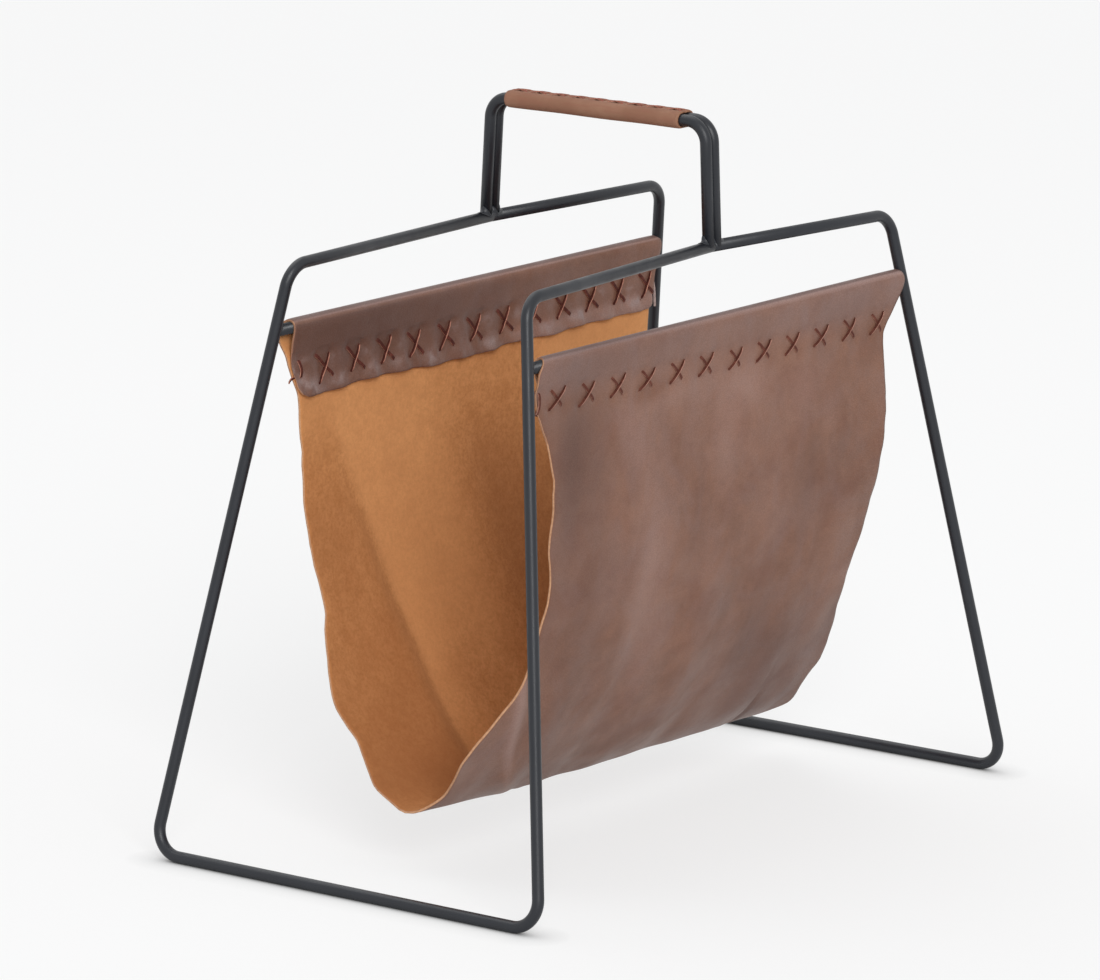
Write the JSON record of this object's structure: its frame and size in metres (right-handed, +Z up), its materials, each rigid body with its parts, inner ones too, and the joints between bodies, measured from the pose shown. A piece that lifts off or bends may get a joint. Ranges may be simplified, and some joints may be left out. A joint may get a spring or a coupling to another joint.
{
  "type": "magazine rack",
  "caption": "Free-standing magazine rack: a bent steel rod frame with a double-rod handle and a laced leather sling open at both ends.",
  "frame": {"origin": "centre of the footprint, on the floor", "axes": "+X along the rack's length, towards its right end; +Y from the front face to the back face; +Z up, towards the handle"},
  "size_m": [0.5578, 0.321, 0.4944],
  "materials": {
    "frame_metal": "satin charcoal black",
    "sling_leather": "waxed brown outside, tan suede inside",
    "grip_leather": "satin brown"
  },
  "bodies": {
    "root": {"left_side_rod": "frame_metal", "right_side_rod": "frame_metal", "left_handle_rod": "frame_metal", "right_handle_rod": "frame_metal", "front_sling_rod": "frame_metal", "back_sling_rod": "frame_metal", "grip_sleeve": "grip_leather", "leather_sling": "sling_leather"}
  },
  "joints": []
}
